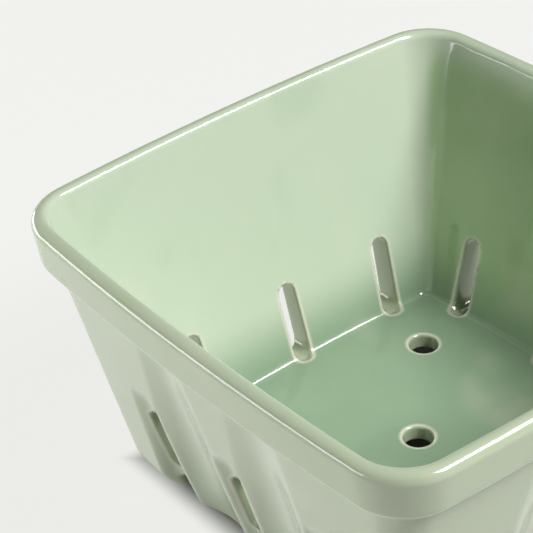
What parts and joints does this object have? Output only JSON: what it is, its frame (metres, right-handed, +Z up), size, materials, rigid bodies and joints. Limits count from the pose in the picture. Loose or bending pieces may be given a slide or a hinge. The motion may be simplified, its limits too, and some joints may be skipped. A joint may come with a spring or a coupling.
{
  "type": "berry colander bowl",
  "caption": "Square glazed stoneware berry colander bowl with slotted, fluted walls, a banded rim, a raised floor with drain holes, and notched feet.",
  "frame": {"origin": "centre of the bowl on the table plane, under its feet", "axes": "+Z up through the middle of the bowl; X and Y square to its sides"},
  "size_m": [0.14, 0.14, 0.0765],
  "materials": {
    "glaze": "glossy sage celadon glaze, paler where it breaks over edges"
  },
  "bodies": {
    "root": {"rim_band": "glaze", "wall_right": "glaze", "wall_back": "glaze", "wall_left": "glaze", "wall_front": "glaze", "floor": "glaze", "corner_feet": "glaze", "side_feet": "glaze"}
  },
  "joints": []
}
